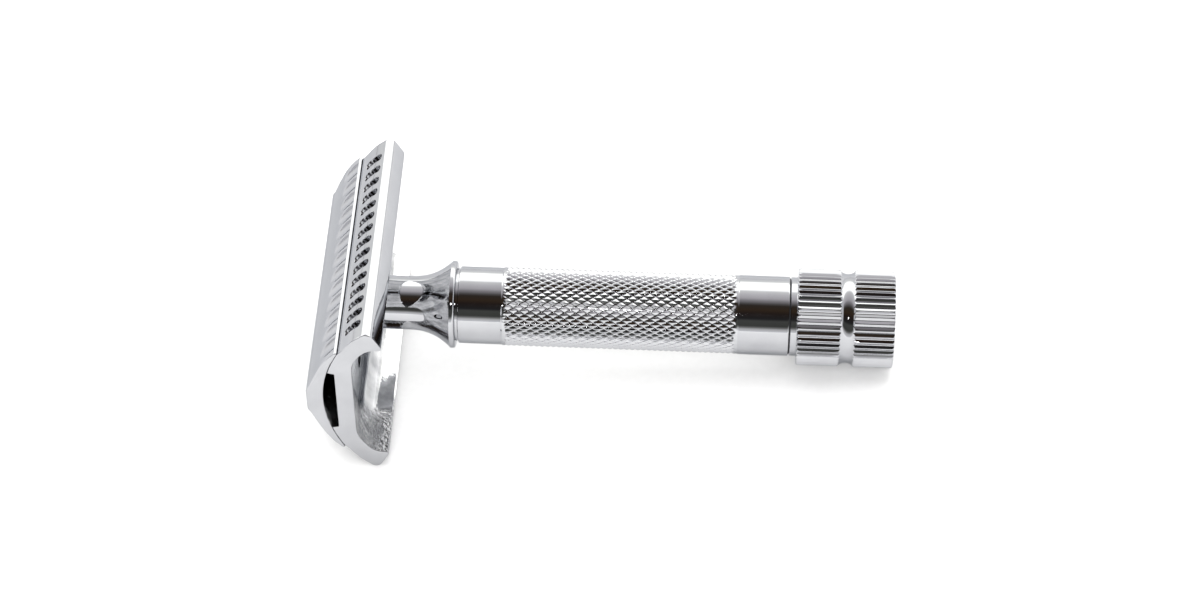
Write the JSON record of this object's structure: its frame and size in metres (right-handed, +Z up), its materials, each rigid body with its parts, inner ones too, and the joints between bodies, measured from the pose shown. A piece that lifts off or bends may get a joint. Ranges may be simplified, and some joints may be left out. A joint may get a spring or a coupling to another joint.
{
  "type": "safety razor",
  "caption": "Chrome double-edge safety razor with a scalloped screw-down cap, slotted guard bars, a short knurled handle and a fluted knob at its end that opens the head.",
  "frame": {"origin": "centre of the foot of the bounding box, on the table the razor lies on", "axes": "+X along the handle towards the knob (the handle itself slopes down to the knob by 5.8 degrees), +Y along the length of the head, +Z up from the table"},
  "size_m": [0.0844, 0.0384, 0.0291],
  "materials": {
    "chrome_head": "polished chrome plate over zinc",
    "chrome_handle": "polished chrome plate over brass",
    "brass": "turned",
    "spring_steel": "bright turned or pressed steel",
    "nylon": "moulded, matt"
  },
  "bodies": {
    "handle": {"handle_tube": "chrome_handle", "neck": "chrome_handle", "base_plate": "chrome_head", "rear_bush": "brass"},
    "cap": {"cap_plate": "chrome_head", "cap_stud": "brass", "cap_post_near": "chrome_head", "cap_post_far": "chrome_head"},
    "knob": {"knob": "chrome_handle", "knob_end_cap": "chrome_handle", "knob_screw": "spring_steel", "spindle_rod": "spring_steel", "spindle_socket": "brass", "thrust_washer": "nylon", "wave_washer": "spring_steel", "retaining_ring": "spring_steel"}
  },
  "joints": [
    {"name": "knob_turn", "type": "hinge", "parent": "handle", "child": "knob", "pos_m": [0.02643, 0, 0.00852], "axis": [0.9949, 0, -0.101], "range_deg": [0, 3600]},
    {"name": "cap_lift", "type": "slide", "parent": "handle", "child": "cap", "axis": [-0.9949, 0, 0.101], "range_m": [0, 0.008]}
  ],
  "couplings": [
    {"joint": "knob_turn", "follows": "cap_lift", "rad_per_m": 7854}
  ]
}
